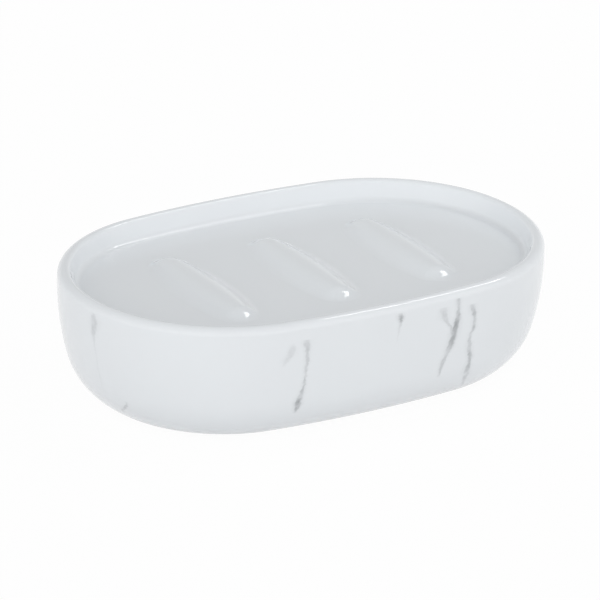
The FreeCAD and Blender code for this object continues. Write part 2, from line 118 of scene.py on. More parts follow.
# %% Outer wall
WIDEST_DROP = 4.5 * MM
TURN_INSET = 2.35 * MM
TURN_LEVEL = 11.8 * MM
BASE_INSET = 10.6 * MM
BASE_EDGE = 1.6 * MM
RIM_OUTER = 2.2 * MM
WALL_STEPS = 32
EDGE_STEPS = 10


def arc_points(centre, radius, first, last, steps):
    """Points on an arc of the section. An angle of zero points outwards, and a quarter turn points up."""
    angles = [first + (last - first) * step / steps for step in range(steps + 1)]
    return [(centre[0] - radius * math.cos(angle), centre[1] + radius * math.sin(angle)) for angle in angles]


def angle_from(centre, point):
    """The angle at which a point lies on an arc round a centre."""
    return math.atan2(point[1] - centre[1], centre[0] - point[0])


def beside(centre, distance, level):
    """The point at a distance from a centre, on its outer side, at a level."""
    return (centre[0] - math.sqrt(distance**2 - (level - centre[1]) ** 2), level)


bulge_rise = rim_level - WIDEST_DROP - TURN_LEVEL
bulge_radius = (bulge_rise**2 + TURN_INSET**2) / (2 * TURN_INSET)
bulge = (bulge_radius, rim_level - WIDEST_DROP)
turn = (TURN_INSET, TURN_LEVEL)
inward = [(bulge[axis] - turn[axis]) / bulge_radius for axis in (0, 1)]
chord = (BASE_INSET - TURN_INSET, base_level - TURN_LEVEL)
under_radius = (chord[0] ** 2 + chord[1] ** 2) / (2 * (chord[0] * inward[0] + chord[1] * inward[1]))
under = tuple(turn[axis] + inward[axis] * under_radius for axis in (0, 1))
edge = beside(under, under_radius - BASE_EDGE, base_level + BASE_EDGE)
rim_outer = beside(bulge, bulge_radius - RIM_OUTER, rim_level - RIM_OUTER)

edge_angle = angle_from(under, edge)
turn_angle = angle_from(bulge, turn)
rim_angle = angle_from(bulge, rim_outer)
wall = arc_points(bulge, bulge_radius, rim_angle, turn_angle, WALL_STEPS)
wall += arc_points(under, under_radius, turn_angle, edge_angle, WALL_STEPS)[1:]
wall += arc_points(edge, BASE_EDGE, edge_angle, -UP, EDGE_STEPS)[1:]
for title, point in (("wall from", wall[0]), ("wall to", wall[-1])):
    print(title, [round(size / MM, 2) for size in point])

# %% [markdown]
# The rim is two roundings that meet at the crest. Inside it a straight slope leads
# down to a cove, the hollow rounding where slope and tray floor meet. The list runs
# the way the mesh is built: from the tray floor up over the rim.

# %% Rim, slope and cove
RIM_INNER = 1.3 * MM
COVE = 2.0 * MM
TRAY_DEPTH = 5.6 * MM
TRAY_SLOPE = math.radians(74)
LANDING = 0.4 * MM
COVE_STEPS = 18
SLOPE_STEPS = 6
RIM_STEPS = 14

tray_level = rim_level - TRAY_DEPTH
rim_inner = (rim_outer[0], rim_level - RIM_INNER)
slope_top = arc_points(rim_inner, RIM_INNER, UP + TRAY_SLOPE, UP, 1)[0]
slope_foot_level = tray_level + COVE * (1 - math.cos(TRAY_SLOPE))
slope_run = (slope_top[1] - slope_foot_level) / math.tan(TRAY_SLOPE)
cove = (slope_top[0] + slope_run + COVE * math.sin(TRAY_SLOPE), tray_level + COVE)

tray_side = [(cove[0] + LANDING, tray_level)]
tray_side += arc_points(cove, COVE, -UP, TRAY_SLOPE - UP, COVE_STEPS)
slope_foot = tray_side[-1]
for step in range(1, SLOPE_STEPS):
    share = step / SLOPE_STEPS
    tray_side.append(tuple(foot + (top - foot) * share for foot, top in zip(slope_foot, slope_top)))
rim = arc_points(rim_inner, RIM_INNER, UP + TRAY_SLOPE, UP, RIM_STEPS)
rim += arc_points(rim_outer, RIM_OUTER, UP, rim_angle, RIM_STEPS)[1:-1]
print("flat floor from", round(cove[0] / MM, 2), "mm in, at level", round(tray_level / MM, 2), "mm")

# %% [markdown]
# ## Helpers for a closed mesh
# The dish is one closed skin, so every ring, hole and sheet shares its vertices
# with its neighbours. Two helpers do most of it: one lays a ring of vertices round
# the outline, the other joins rings with quads. The quads of the printed wall also
# keep a map of two numbers in millimetres: the way along the wall, and the depth
# below the rim, which is counted below zero in the tray. The marble veins are drawn
# on that map later.

# %% Rings and skins
body_mesh = bmesh.new()
print_map = body_mesh.loops.layers.uv.new("print_map")
ROUND_STEPS = 56


def ring(inset, level):
    """One vertex for each station, so far in and at this level."""
    places = [centre + direction * (radius - inset) for centre, direction, radius, _ in stations]
    return [body_mesh.verts.new((place.x, place.y, level)) for place in places]


def round_ring(centre, radius, level, steps=ROUND_STEPS):
    """A circle of vertices."""
    turns = [WHOLE_TURN * step / steps for step in range(steps)]
    around = [(radius * math.cos(angle), radius * math.sin(angle)) for angle in turns]
    return [body_mesh.verts.new((centre[0] + x, centre[1] + y, level)) for x, y in around]


def skin(rings, map_side=0):
    """Join rings with quads. A map side of 1 prints them as outer wall, and -1 as tray."""
    faces = []
    for upper, lower in zip(rings, rings[1:]):
        for index in range(len(upper)):
            after = (index + 1) % len(upper)
            face = body_mesh.faces.new((upper[index], lower[index], lower[after], upper[after]))
            faces.append(face)
            if map_side:
                ways = [stations[index][3], stations[after][3] if after else way_round]
                for loop, way in zip(face.loops, (ways[0], ways[0], ways[1], ways[1])):
                    loop[print_map].uv = (way / MM, map_side * (rim_level - loop.vert.co.z) / MM)
    return faces


# %% [markdown]
# Flat stretches with holes in them, such as the tray floor round its ribs, are
# filled by a constrained triangulation. It covers the holes too, so we drop the
# triangles whose middle lies in one. A loose grid of extra points keeps the
# triangles stout, which keeps their shading even.

# %% Flat sheets with holes
GRID = 4 * MM
FREE_SHARE = 0.6
MERGE_DISTANCE = 1e-9


def inside(point, loop):
    """Whether a point lies inside a loop, by counting the edges that a ray from it crosses."""
    crossings = 0
    for first, second in zip(loop, loop[1:] + loop[:1]):
        if (first.co.y > point[1]) != (second.co.y > point[1]):
            share = (point[1] - first.co.y) / (second.co.y - first.co.y)
            crossings += point[0] < first.co.x + share * (second.co.x - first.co.x)
    return crossings % 2 == 1


def clear_of(point, loops):
    """Whether a point keeps its distance from the loops, so that no thin triangle forms."""
    return all((point - vert.co.xy).length > FREE_SHARE * GRID for loop in loops for vert in loop[::2])


def sheet(outer, holes):
    """Fill the space between a loop and the holes in it with flat triangles."""
    loops = [outer, *holes]
    verts = [vert for loop in loops for vert in loop]
    edges, first = [], 0
    for loop in loops:
        edges += [(first + index, first + (index + 1) % len(loop)) for index in range(len(loop))]
        first += len(loop)
    spans = []
    for axis in (0, 1):
        places = [vert.co[axis] for vert in outer]
        spans.append(range(math.floor(min(places) / GRID), math.ceil(max(places) / GRID) + 1))
    for across in spans[0]:
        for back in spans[1]:
            point = Vector((across * GRID, back * GRID))
            in_sheet = inside(point, outer) and not any(inside(point, hole) for hole in holes)
            if in_sheet and clear_of(point, loops):
                verts.append(body_mesh.verts.new((point.x, point.y, outer[0].co.z)))
    flat = delaunay_2d_cdt([vert.co.xy for vert in verts], edges, [], 0, MERGE_DISTANCE)
    faces = []
    for corners in flat[2]:
        middle = sum((flat[0][corner] for corner in corners), Vector((0, 0))) / len(corners)
        if not any(inside(middle, hole) for hole in holes):
            faces.append(body_mesh.faces.new([verts[flat[3][corner][0]] for corner in corners]))
    return faces


# %% [markdown]
# ## The ribs
# Three low ribs hold the soap out of the water. Seen from above each is a long lens
# with round tips, drawn with the same four arcs as the dish. A second, much thinner
# lens is its ridge. The section between the two is three parts of one smooth line: a
# hollow rounding at the foot, a short straight flank, and a wide rounding on top. The
# hollow one has a negative radius, which swings it to the far side of its centre.

# %% Section of a rib
RIB_PITCH = 30.0 * MM
RIB_COUNT = 3
RIB_HEIGHT = 2.2 * MM
RIB_FLANK = math.radians(26)
RIB_FOOT = 8.0 * MM
RIB_CROWN = 10.0 * MM
RIB_HALF_LENGTH = 24.45 * MM
RIB_BOW = 2.27 * MM
RIDGE_HALF_LENGTH = 18.3 * MM
RIDGE_HALF_WIDTH = 0.4 * MM
RIDGE_BOW = 0.1 * MM
RIB_FOOT_STEPS = 12
RIB_CROWN_STEPS = 24

rounded_rise = (RIB_FOOT + RIB_CROWN) * (1 - math.cos(RIB_FLANK))
rounded_run = (RIB_FOOT + RIB_CROWN) * math.sin(RIB_FLANK)
rib_run = rounded_run + (RIB_HEIGHT - rounded_rise) / math.tan(RIB_FLANK)
rib_half_width = RIDGE_HALF_WIDTH + rib_run
rib_section = arc_points((0.0, RIB_FOOT), -RIB_FOOT, UP, UP - RIB_FLANK, RIB_FOOT_STEPS)
rib_section += arc_points((rib_run, RIB_HEIGHT - RIB_CROWN), RIB_CROWN, UP - RIB_FLANK, UP, RIB_CROWN_STEPS)
print("ribs", round(2 * rib_half_width / MM, 1), "mm wide")
print("flank starts", round(rib_section[RIB_FOOT_STEPS][1] / MM, 2), "mm up")

# %% [markdown]
# A rib lies across the dish, so its outlines are turned by a quarter. Each ring is
# the foot line moved some way towards the ridge, and the ridge is closed by a narrow
# flat sheet. The flanks are a little steeper at the tips, where the way is shorter.
# On the print map, floor and ribs get one depth, that of the tray.

# %% Build the ribs and the tray
RIB_END_STEPS = 48
RIB_SIDE_STEPS = 32


def lens(middle, half_long, half_wide, bow):
    """Points of an outline that lies across the dish."""
    around, _ = outline_stations(half_long, half_wide, bow, RIB_END_STEPS, RIB_SIDE_STEPS)
    places = [centre + direction * radius for centre, direction, radius, _ in around]
    return [Vector((middle - place.y, place.x)) for place in places]


def build_rib(middle):
    """Add one rib. Gives the loop where it meets the floor, and its faces."""
    foot = lens(middle, RIB_HALF_LENGTH, rib_half_width, RIB_BOW)
    ridge = lens(middle, RIDGE_HALF_LENGTH, RIDGE_HALF_WIDTH, RIDGE_BOW)
    rings = []
    for inset, rise in rib_section:
        places = [low.lerp(high, inset / rib_run) for low, high in zip(foot, ridge)]
        rings.append([body_mesh.verts.new((*place, tray_level + rise)) for place in places])
    faces = skin(rings)
    faces += sheet(rings[-1], [])
    return rings[0], faces


rib_middles = [RIB_PITCH * (index - (RIB_COUNT - 1) / 2) for index in range(RIB_COUNT)]
ribs = [build_rib(middle) for middle in rib_middles]
tray_rings = [ring(*point) for point in tray_side + rim]
wall_rings = [ring(*point) for point in wall]
floor_faces = sheet(tray_rings[0], [loop for loop, _ in ribs])
skin(tray_rings, map_side=-1)
skin([tray_rings[-1], *wall_rings], map_side=1)
for _, rib_faces in ribs:
    floor_faces += rib_faces
for face in floor_faces:
    for loop in face.loops:
        loop[print_map].uv = (0, -TRAY_DEPTH / MM)
print("tray and wall:", len(body_mesh.faces), "faces")

# %% [markdown]
# ## The underside
# Nobody photographs it, but a buyer turns the dish over. The dish stands on a flat
# foot band. Four round seats in the band take the pads, and inside the band the
# base is raised a little, so that it can carry glaze without sticking to the kiln
# shelf. Small arcs break the edges, as glaze and clay never fire to a sharp corner.

# %% Foot band, pad seats and raised base
PAD_CLEARANCE = 0.15 * MM
PAD_MARGIN = 2.5 * MM
FOOT_RISE = 1.0 * MM
SOFT_EDGE = 0.3 * MM
SEAT_EDGE = 0.12 * MM
SOFT_STEPS = 6
SEAT_STEPS = 4

pad_names = ["pad_front_left", "pad_front_right", "pad_back_left", "pad_back_right"]
pad_boxes = [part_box(name) for name in pad_names]
pad_radius = (pad_boxes[0][1][0] - pad_boxes[0][0][0]) / 2
pad_top = pad_boxes[0][1][2]
pad_middles = [[(low[axis] + high[axis]) / 2 for axis in (0, 1)] for low, high in pad_boxes]
seat_radius = pad_radius + PAD_CLEARANCE
foot_inset = BASE_INSET + 2 * (PAD_MARGIN + seat_radius)
panel_level = base_level + FOOT_RISE

bare_faces = []
seat_loops = []
for middle in pad_middles:
    brim = (-seat_radius - SEAT_EDGE, base_level + SEAT_EDGE)
    mouth = arc_points(brim, SEAT_EDGE, -UP, -2 * UP, SEAT_STEPS)
    seat_rings = [round_ring(middle, -inset, level) for inset, level in mouth]
    seat_rings.append(round_ring(middle, seat_radius, pad_top))
    bare_faces += skin(seat_rings)
    bare_faces.append(body_mesh.faces.new(seat_rings[-1]))
    seat_loops.append(seat_rings[0])

brow = arc_points((foot_inset - SOFT_EDGE, base_level + SOFT_EDGE), SOFT_EDGE, -UP, -2 * UP, SOFT_STEPS)
hollow = arc_points((foot_inset + SOFT_EDGE, panel_level - SOFT_EDGE), SOFT_EDGE, 0, UP, SOFT_STEPS)
panel_rings = [ring(*point) for point in brow + hollow]
bare_faces += sheet(wall_rings[-1], [panel_rings[0], *seat_loops])
skin(panel_rings)
print("foot band from", round(edge[0] / MM, 2), "to", round(foot_inset / MM, 2), "mm in")

# %% [markdown]
# The body is hollow: slip was cast round the inside of a mould and the rest poured
# out, so the cavity keeps the wall's thickness. Its only way out is the vent hole
# in the raised base, which lets the air out in the kiln. The cavity closes the mesh
# from within and gives it its true volume of clay.

# %% Vent hole and cavity
WALL_THICKNESS = 4.0 * MM
CAVITY_TOP = 3.0 * MM
CAVITY_TURN = 10.0 * MM
PLUG_LIP = 2.5 * MM
CAVITY_TURN_STEPS = 12
CAVITY_SIDE_STEPS = 6
CAVITY_TOP_STEPS = 8

plug_low, plug_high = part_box("vent_plug")
plug_radius = (plug_high[0] - plug_low[0]) / 2
vent_radius = plug_radius - PLUG_LIP
cavity_floor = base_level + WALL_THICKNESS
cavity_roof = tray_level - WALL_THICKNESS
side = bulge_radius - WALL_THICKNESS
turn_round = beside(bulge, side - CAVITY_TURN, cavity_floor + CAVITY_TURN)
roof_round = beside(bulge, side - CAVITY_TOP, cavity_roof - CAVITY_TOP)
side_first = angle_from(bulge, turn_round)
side_last = angle_from(bulge, roof_round)
cavity = arc_points(turn_round, CAVITY_TURN, -UP, side_first, CAVITY_TURN_STEPS)
cavity += arc_points(bulge, side, side_first, side_last, CAVITY_SIDE_STEPS)[1:]
cavity += arc_points(roof_round, CAVITY_TOP, side_last, UP, CAVITY_TOP_STEPS)[1:]
cavity_rings = [ring(*point) for point in cavity]

bore = [round_ring((0, 0), vent_radius + SEAT_EDGE, panel_level)]
bore.append(round_ring((0, 0), vent_radius, panel_level + SEAT_EDGE))
bore.append(round_ring((0, 0), vent_radius, cavity_floor))
sheet(panel_rings[-1], [bore[0]])
bare_faces += skin(bore)
bare_faces += sheet(cavity_rings[0], [bore[-1]])
bare_faces += skin(cavity_rings)
bare_faces += sheet(cavity_rings[-1], [])
print("cavity from level", round(cavity_floor / MM, 1), "to", round(cavity_roof / MM, 1), "mm")

# %% [markdown]
# ## Close the dish
# One call turns all faces outwards, and a count proves that the skin is closed:
# every edge must have exactly two faces. Faces that stay bare clay go to a second
# material. Shading is smooth except across true corners.

# %% Make the dish an object
BARE_MATERIAL = 1
TRUE_CORNER = math.radians(40)

for face in bare_faces:
    face.material_index = BARE_MATERIAL
for face in body_mesh.faces:
    face.smooth = True
bmesh.ops.recalc_face_normals(body_mesh, faces=body_mesh.faces)
open_edges = sum(len(edge.link_faces) != 2 for edge in body_mesh.edges)
assert not open_edges, f"{open_edges} edges of the dish are open"
dish_volume = body_mesh.calc_volume(signed=True)


def new_piece(name, mesh_in_work, corner=TRUE_CORNER):
    """Turn a mesh in work into an object with smooth shading up to a corner's angle."""
    mesh = bpy.data.meshes.new(name)
    mesh_in_work.to_mesh(mesh)
    mesh_in_work.free()
    mesh.set_sharp_from_angle(angle=corner)
    piece = bpy.data.objects.new(name, mesh)
    bpy.context.scene.collection.objects.link(piece)
    return piece


dish = new_piece("glazed_dish", body_mesh)
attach(dish, "root")
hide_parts("dish_body")
print(len(dish.data.polygons), "faces hold", round(dish_volume / MM**3), "cubic mm of clay")

# %% [markdown]
# ## Pads and stopper
# Both are turned shapes: a line of points, each a radius and a level, is spun about
# an upright axis. A pad is a soft disc with rounded edges and a very shallow dish in
# its face, which keeps its edge on the shelf. The stopper has a thin head under the
# base, a stem through the vent hole and a barb that snaps in above it.

# %% Turn a line of points into a piece
def rounded(points, radius, steps=5):
    """Round the corners of a line of points. Corners too short for the radius take a smaller one."""
    line = [points[0]]
    for before, corner, after in zip(points, points[1:], points[2:]):
        arms = [Vector(end) - Vector(corner) for end in (before, after)]
        reach = min(radius, *(arm.length / 3 for arm in arms))
        ends = [Vector(corner) + arm.normalized() * reach for arm in arms]
        for step in range(steps + 1):
            share = step / steps
            blended = ends[0] * (1 - share) ** 2 + Vector(corner) * 2 * share * (1 - share)
            line.append(tuple(blended + ends[1] * share**2))
    return [*line, points[-1]]


def turned(name, middle, line, steps=96):
    """Spin a line of points about an upright axis. Its two ends lie on the axis."""
    work = bmesh.new()
    rows = []
    for radius, level in line:
        count = steps if radius > 0 else 1
        angles = [WHOLE_TURN * step / count for step in range(count)]
        around = [(radius * math.cos(angle), radius * math.sin(angle)) for angle in angles]
        rows.append([work.verts.new((middle[0] + x, middle[1] + y, level)) for x, y in around])
    for upper, lower in zip(rows, rows[1:]):
        for index in range(steps):
            after = (index + 1) % steps
            corners = [upper[index % len(upper)], lower[index % len(lower)]]
            corners += [lower[after % len(lower)], upper[after % len(upper)]]
            work.faces.new(list(dict.fromkeys(corners)))
    for face in work.faces:
        face.smooth = True
    bmesh.ops.recalc_face_normals(work, faces=work.faces)
    return new_piece(name, work)


# %% [markdown]
# The pads keep the box of their solids to the last hundredth of a millimetre: the
# dish's height over the shelf depends on them.

# %% Pads and stopper
PAD_EDGE = 0.35 * MM
PAD_HOLLOW = 0.12 * MM
PAD_LAND = 1.1 * MM
PLUG_EDGE = 0.35 * MM
PLUG_HOLLOW = 0.12 * MM
PLUG_CLEARANCE = 0.1 * MM
PLUG_BARB = 0.6 * MM
PLUG_NOSE = 1.2 * MM
PLUG_DIMPLE = 1.6 * MM

soft_pieces = []
pad_line = [(0, pad_top), (pad_radius, pad_top), (pad_radius, 0), (pad_radius - PAD_LAND, 0)]
pad_line += [(pad_radius - 2 * PAD_LAND, PAD_HOLLOW), (0, PAD_HOLLOW)]
for name, middle in zip(pad_names, pad_middles):
    grip = turned(name.replace("pad", "grip"), middle, rounded(pad_line, PAD_EDGE))
    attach(grip, "root")
    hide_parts(name)
    soft_pieces.append(grip)

head_level, tip_level = plug_low[2], plug_high[2]
barb_radius = vent_radius + PLUG_BARB
stem_radius = vent_radius - PLUG_CLEARANCE
barb_level = cavity_floor + PLUG_CLEARANCE
plug_line = [
    (0, head_level + PLUG_HOLLOW),
    (PLUG_DIMPLE, head_level + PLUG_HOLLOW),
    (2 * PLUG_DIMPLE, head_level),
    (plug_radius, head_level),
    (plug_radius, panel_level),
    (stem_radius, panel_level),
    (stem_radius, barb_level),
    (barb_radius, barb_level),
    (barb_radius - PLUG_NOSE, tip_level),
    (0, tip_level),
]
stopper = turned("stopper", (0, 0), rounded(plug_line, PLUG_EDGE))
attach(stopper, "root")
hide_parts("vent_plug")
print(len(soft_pieces), "pads of", round(2 * pad_radius / MM, 2), "mm")
print("stopper of", round(2 * plug_radius / MM, 2), "mm")

# %% [markdown]
# ## Wiring materials
# All finishes are built from nodes, so they hold up from any side and need no
# pictures. One helper adds a node: plain numbers set its sockets, and another
# node's output is wired in. Another starts a material with its shader.

# %% Node helpers
def add(tree, kind, sockets=None, **options):
    """Add a node, set its options, and fill its sockets with values or other nodes' outputs."""
    made = tree.nodes.new(kind)
    for option, value in options.items():
        setattr(made, option, value)
    for socket, value in (sockets or {}).items():
        if isinstance(value, bpy.types.NodeSocket):
            tree.links.new(value, made.inputs[socket])
        else:
            made.inputs[socket].default_value = value
    return made


def sum_up(tree, operation, first, second=0.0, **options):
    """One step of arithmetic."""
    return add(tree, "ShaderNodeMath", {0: first, 1: second}, operation=operation, **options).outputs[0]


def spread(tree, value, low, high, to_low=0.0, to_high=1.0, smooth=False):
    """Map a value from one range to another, and hold it at the ends."""
    kind = "SMOOTHSTEP" if smooth else "LINEAR"
    sockets = {"Value": value, "From Min": low, "From Max": high, "To Min": to_low, "To Max": to_high}
    return add(tree, "ShaderNodeMapRange", sockets, interpolation_type=kind).outputs["Result"]


def new_finish(name, **sockets):
    """A material and its shader, with plain numbers on the shader's own sockets."""
    finish = bpy.data.materials.new(name)
    finish.use_nodes = True
    shader = finish.node_tree.nodes["Principled BSDF"]
    for socket, value in sockets.items():
        shader.inputs[socket.replace("_", " ")].default_value = value
    return finish, finish.node_tree, shader


def noise(tree, where, scale, detail=2.0, roughness=0.5):
    """A cloudy value between 0 and 1. The scale counts clouds per metre."""
    sockets = {"Vector": where, "Scale": scale, "Detail": detail, "Roughness": roughness}
    return add(tree, "ShaderNodeTexNoise", sockets).outputs["Fac"]


# %% [markdown]
# ## Marble veins
# The veins are a transfer print under the glaze. On the dish they run down the wall
# like strokes of a dry brush: a dark core, a soft halo, and paler patches where the
# colour did not take fully. The print stays off the rim and the tray.
#
# Each vein is a short list of points: the way along the wall, the depth below the
# rim, its width, and how dark it is. A curves node turns depth into the other
# three, one to a colour channel. That keeps a vein's line smooth from a few points,
# and it can wander freely, which a stretched noise would not do where we want it.

# %% How one vein is drawn
VEIN_SWING = 24.0
VEIN_WIDEST = 5.0
WALL_DEPTH = rim_level / MM
CORE_FULL, CORE_END = 0.15, 0.6
HALO_END = 1.3
HALO_STRENGTH = 0.3
PATCH_LOW, PATCH_HIGH = 0.36, 0.64
PATCH_LEAST = 0.35
FADE = 0.6


def vein_group():
    """A group that turns distance from a vein's line into how dark the print is."""
    tree = bpy.data.node_groups.new("vein", "ShaderNodeTree")
    for name, kind in (("Along", "Float"), ("Start", "Float"), ("Track", "Color"), ("Patches", "Float")):
        tree.interface.new_socket(name, in_out="INPUT", socket_type=f"NodeSocket{kind}")
    tree.interface.new_socket("Ink", in_out="OUTPUT", socket_type="NodeSocketFloat")
    given = add(tree, "NodeGroupInput").outputs
    track = add(tree, "ShaderNodeSeparateColor", {"Color": given["Track"]}).outputs
    swing = sum_up(tree, "MULTIPLY_ADD", track["Red"], VEIN_SWING)
    swing.node.inputs[2].default_value = -VEIN_SWING / 2
    line = sum_up(tree, "ADD", given["Start"], swing)
    distance = sum_up(tree, "ABSOLUTE", sum_up(tree, "SUBTRACT", given["Along"], line))
    width = sum_up(tree, "MULTIPLY", track["Green"], VEIN_WIDEST)
    across = sum_up(tree, "DIVIDE", distance, width)
    core = spread(tree, across, CORE_FULL, CORE_END, 1.0, 0.0, smooth=True)
    halo = spread(tree, across, 0.0, HALO_END, 1.0, 0.0, smooth=True)
    cover = spread(tree, given["Patches"], PATCH_LOW, PATCH_HIGH, PATCH_LEAST, 1.0)
    core = sum_up(tree, "MULTIPLY", core, cover)
    both = sum_up(tree, "MULTIPLY_ADD", halo, HALO_STRENGTH)
    tree.links.new(core, both.node.inputs[2])
    ink = sum_up(tree, "MULTIPLY", both, track["Blue"])
    add(tree, "NodeGroupOutput", {"Ink": ink})
    return tree


def vein(tree, shared, points):
    """Draw one vein from its points: along, depth, width and darkness."""
    start = points[0][0]
    curves = add(tree, "ShaderNodeRGBCurve", {"Color": shared["depth"]})
    ends = [(*points[0][:3], 0.0), *points, (*points[-1][:3], 0.0)]
    depths = [points[0][1] - FADE, *(point[1] for point in points), points[-1][1] + FADE]
    for channel in range(3):
        curve = curves.mapping.curves[channel]
        for index, (depth, point) in enumerate(zip(depths, ends)):
            values = [(point[0] - start) / VEIN_SWING + 0.5, point[2] / VEIN_WIDEST, point[3]]
            place = (depth / WALL_DEPTH, values[channel])
            if index == 0:
                curve.points[0].location = place
            elif index == len(ends) - 1:
                curve.points[-1].location = place
            else:
                curve.points.new(*place)
        for knot in curve.points:
            knot.handle_type = "AUTO_CLAMPED"
    curves.mapping.update()
    sockets = {"Along": shared["along"], "Start": start, "Patches": shared["patches"]}
    sockets["Track"] = curves.outputs["Color"]
    return add(tree, "ShaderNodeGroup", sockets, node_tree=shared["group"]).outputs["Ink"]


# %% [markdown]
# The way along the wall is counted from the middle of the front, positive to the
# right, and it is in millimetres like the depth and the width. The veins that the
# front shows are placed one by one. Round the back and the right end the print goes
# on in the same manner, so those veins come from a seeded draw: a start, a drift and
# a few points down the wall.

# %% The veins of this dish
FRONT_VEINS = [
    [
        (-84, 2.6, 1.6, 0.3), (-83.8, 4.2, 2.6, 0.45), (-84.2, 7, 1.9, 0.4),
        (-84, 11, 0.9, 0.12), (-83.5, 23, 0.8, 0.06),
    ],
    [(-75, 25.5, 1.0, 0.25), (-76.5, 27.5, 1.3, 0.5), (-79, 30, 1.0, 0.3)],
    [
        (-24.2, 5.2, 2.2, 0.4), (-24, 7, 1.6, 0.55), (-23.8, 10, 1.2, 0.5), (-24, 14, 1.0, 0.4),
        (-24.3, 18, 1.1, 0.65), (-24.7, 20.5, 1.4, 0.5), (-25, 23, 1.8, 1.2), (-25.3, 26, 1.1, 0.4),
    ],
    [(-28.2, 5.5, 1.5, 0.08), (-28.6, 8, 2.4, 0.28), (-29.8, 9.6, 2.2, 0.22), (-30.4, 11, 1.2, 0.08)],
    [(3, 2.7, 1.6, 0.5), (3.2, 4, 1.4, 0.85), (3.1, 5.3, 0.9, 0.4), (2.8, 8, 0.7, 0.1), (2.5, 10, 0.6, 0.05)],
    [(16.4, 4, 2.3, 0.35), (16.9, 6.2, 2.4, 0.5), (18.1, 8.2, 1.3, 0.4), (19.4, 11, 1.1, 0.45)],
    [
        (21.1, 2.4, 1.5, 0.6), (21.4, 6, 1.5, 0.7), (20.8, 9, 1.9, 0.95), (20.3, 12, 2.3, 0.9),
        (19.5, 15.5, 2.0, 0.75), (18.4, 18.5, 1.4, 0.6), (17.7, 21, 1.3, 0.6), (17.5, 24, 0.9, 0.2),
    ],
    [
        (25.9, 5, 1.8, 0.4), (26.5, 8, 1.5, 0.65), (26.8, 11, 1.4, 0.6), (25.7, 14, 1.2, 0.45),
        (26, 17, 1.6, 0.6), (27, 21.5, 1.5, 0.7), (27, 24.5, 2.2, 0.6), (27.8, 28, 1.5, 0.45),
        (28.6, 31, 0.9, 0.25),
    ],
]


def drawn_veins(ways, seed):
    """Veins like those of the front, at these ways along the wall."""
    draw = random.Random(seed)
    veins = []
    for way in ways:
        depth = draw.uniform(2.4, 5.0)
        drift = draw.uniform(-0.25, 0.25)
        darkness = draw.uniform(0.5, 0.95)
        points = []
        for _ in range(draw.randint(3, 8)):
            points.append((way, depth, draw.uniform(0.9, 2.4), darkness * draw.uniform(0.35, 1.0)))
            step = draw.uniform(2.2, 4.0)
            depth += step
            way += drift * step + draw.uniform(-1.0, 1.0)
        points.append((way, depth, 0.8, 0.1))
        veins.append(points)
    return veins


HIDDEN_WAYS = [-168, -164, -141, -126, -121, 78, 96, 101, 122, 131, 149, 154, 158, 176]
veins = FRONT_VEINS + drawn_veins(HIDDEN_WAYS, seed=11)
print(len(veins), "veins,", sum(len(points) for points in veins), "points")

# %% [markdown]
# ## The glaze
# White glaze is a clear skin of glass over a white body: a diffuse white under a
# sharp reflection, which the shader's index of refraction of 1.5 gives. Two things
# keep it from looking like plastic. Its surface is never quite flat, so a very low,
# wide bump lets reflections swim a little. And down in the tray it is a shade deeper:
# in part glaze that pools thick there, in part painted shade for the tray's dim floor.
#
# The floor of the tray is made duller than the rest, because in the photograph it
# mirrors neither the wall nor the ribs. The dull stretch ends at the ribs' feet, so
# their tips keep the gloss that makes them glint.

# %% Ink of the veins
GLOSSY = 0.06
WANDER_REACH = 1.1
FRET_REACH = 1.4

glaze, glaze_tree, glaze_shader = new_finish("white_glaze", IOR=1.5, Roughness=GLOSSY)
place = add(glaze_tree, "ShaderNodeTexCoord").outputs["Object"]
printed = add(glaze_tree, "ShaderNodeUVMap", uv_map="print_map").outputs["UV"]
print_way = add(glaze_tree, "ShaderNodeSeparateXYZ", {"Vector": printed}).outputs
front_way = sum_up(glaze_tree, "SUBTRACT", print_way["X"], way_round / 2 / MM)

wander = sum_up(glaze_tree, "SUBTRACT", noise(glaze_tree, place, 260, 3.0), 0.5)
jitter = sum_up(glaze_tree, "SUBTRACT", noise(glaze_tree, place, 850, 3.0, 0.6), 0.5)
wobbled = sum_up(glaze_tree, "MULTIPLY_ADD", wander, WANDER_REACH)
glaze_tree.links.new(front_way, wobbled.node.inputs[2])
fretted = sum_up(glaze_tree, "MULTIPLY_ADD", jitter, FRET_REACH)
glaze_tree.links.new(wobbled, fretted.node.inputs[2])
shared = {
    "along": fretted,
    "depth": sum_up(glaze_tree, "DIVIDE", print_way["Y"], WALL_DEPTH),
    "patches": noise(glaze_tree, place, 420, 3.0, 0.6),
    "group": vein_group(),
}
ink = None
for points in veins:
    drawn = vein(glaze_tree, shared, points)
    ink = drawn if ink is None else sum_up(glaze_tree, "MAXIMUM", ink, drawn)

# %% Tone of the glaze
WHITE = (0.815, 0.845, 0.87, 1.0)
# A shade deeper than WHITE for the tray's bottom: in part pooled glaze, in part painted shade.
POOLED_AND_SHADED = (0.805, 0.838, 0.863, 1.0)
MOTTLED = (0.8, 0.82, 0.85, 1.0)
MOTTLE_SHARE = 0.35
VEIN_GREY = (0.18, 0.19, 0.205, 1.0)
INK_STRENGTH = 0.55
SWELL_HEIGHT = 0.03 * MM
DULL = 0.2
DULL_UP_TO = 0.15 * MM
GLOSSY_FROM = 0.6 * MM


def mix(tree, share, first, second):
    """Blend two colours."""
    made = add(tree, "ShaderNodeMix", data_type="RGBA")
    for index, value in ((0, share), (6, first), (7, second)):
        if isinstance(value, bpy.types.NodeSocket):
            tree.links.new(value, made.inputs[index])
        else:
            made.inputs[index].default_value = value
    return made.outputs[2]


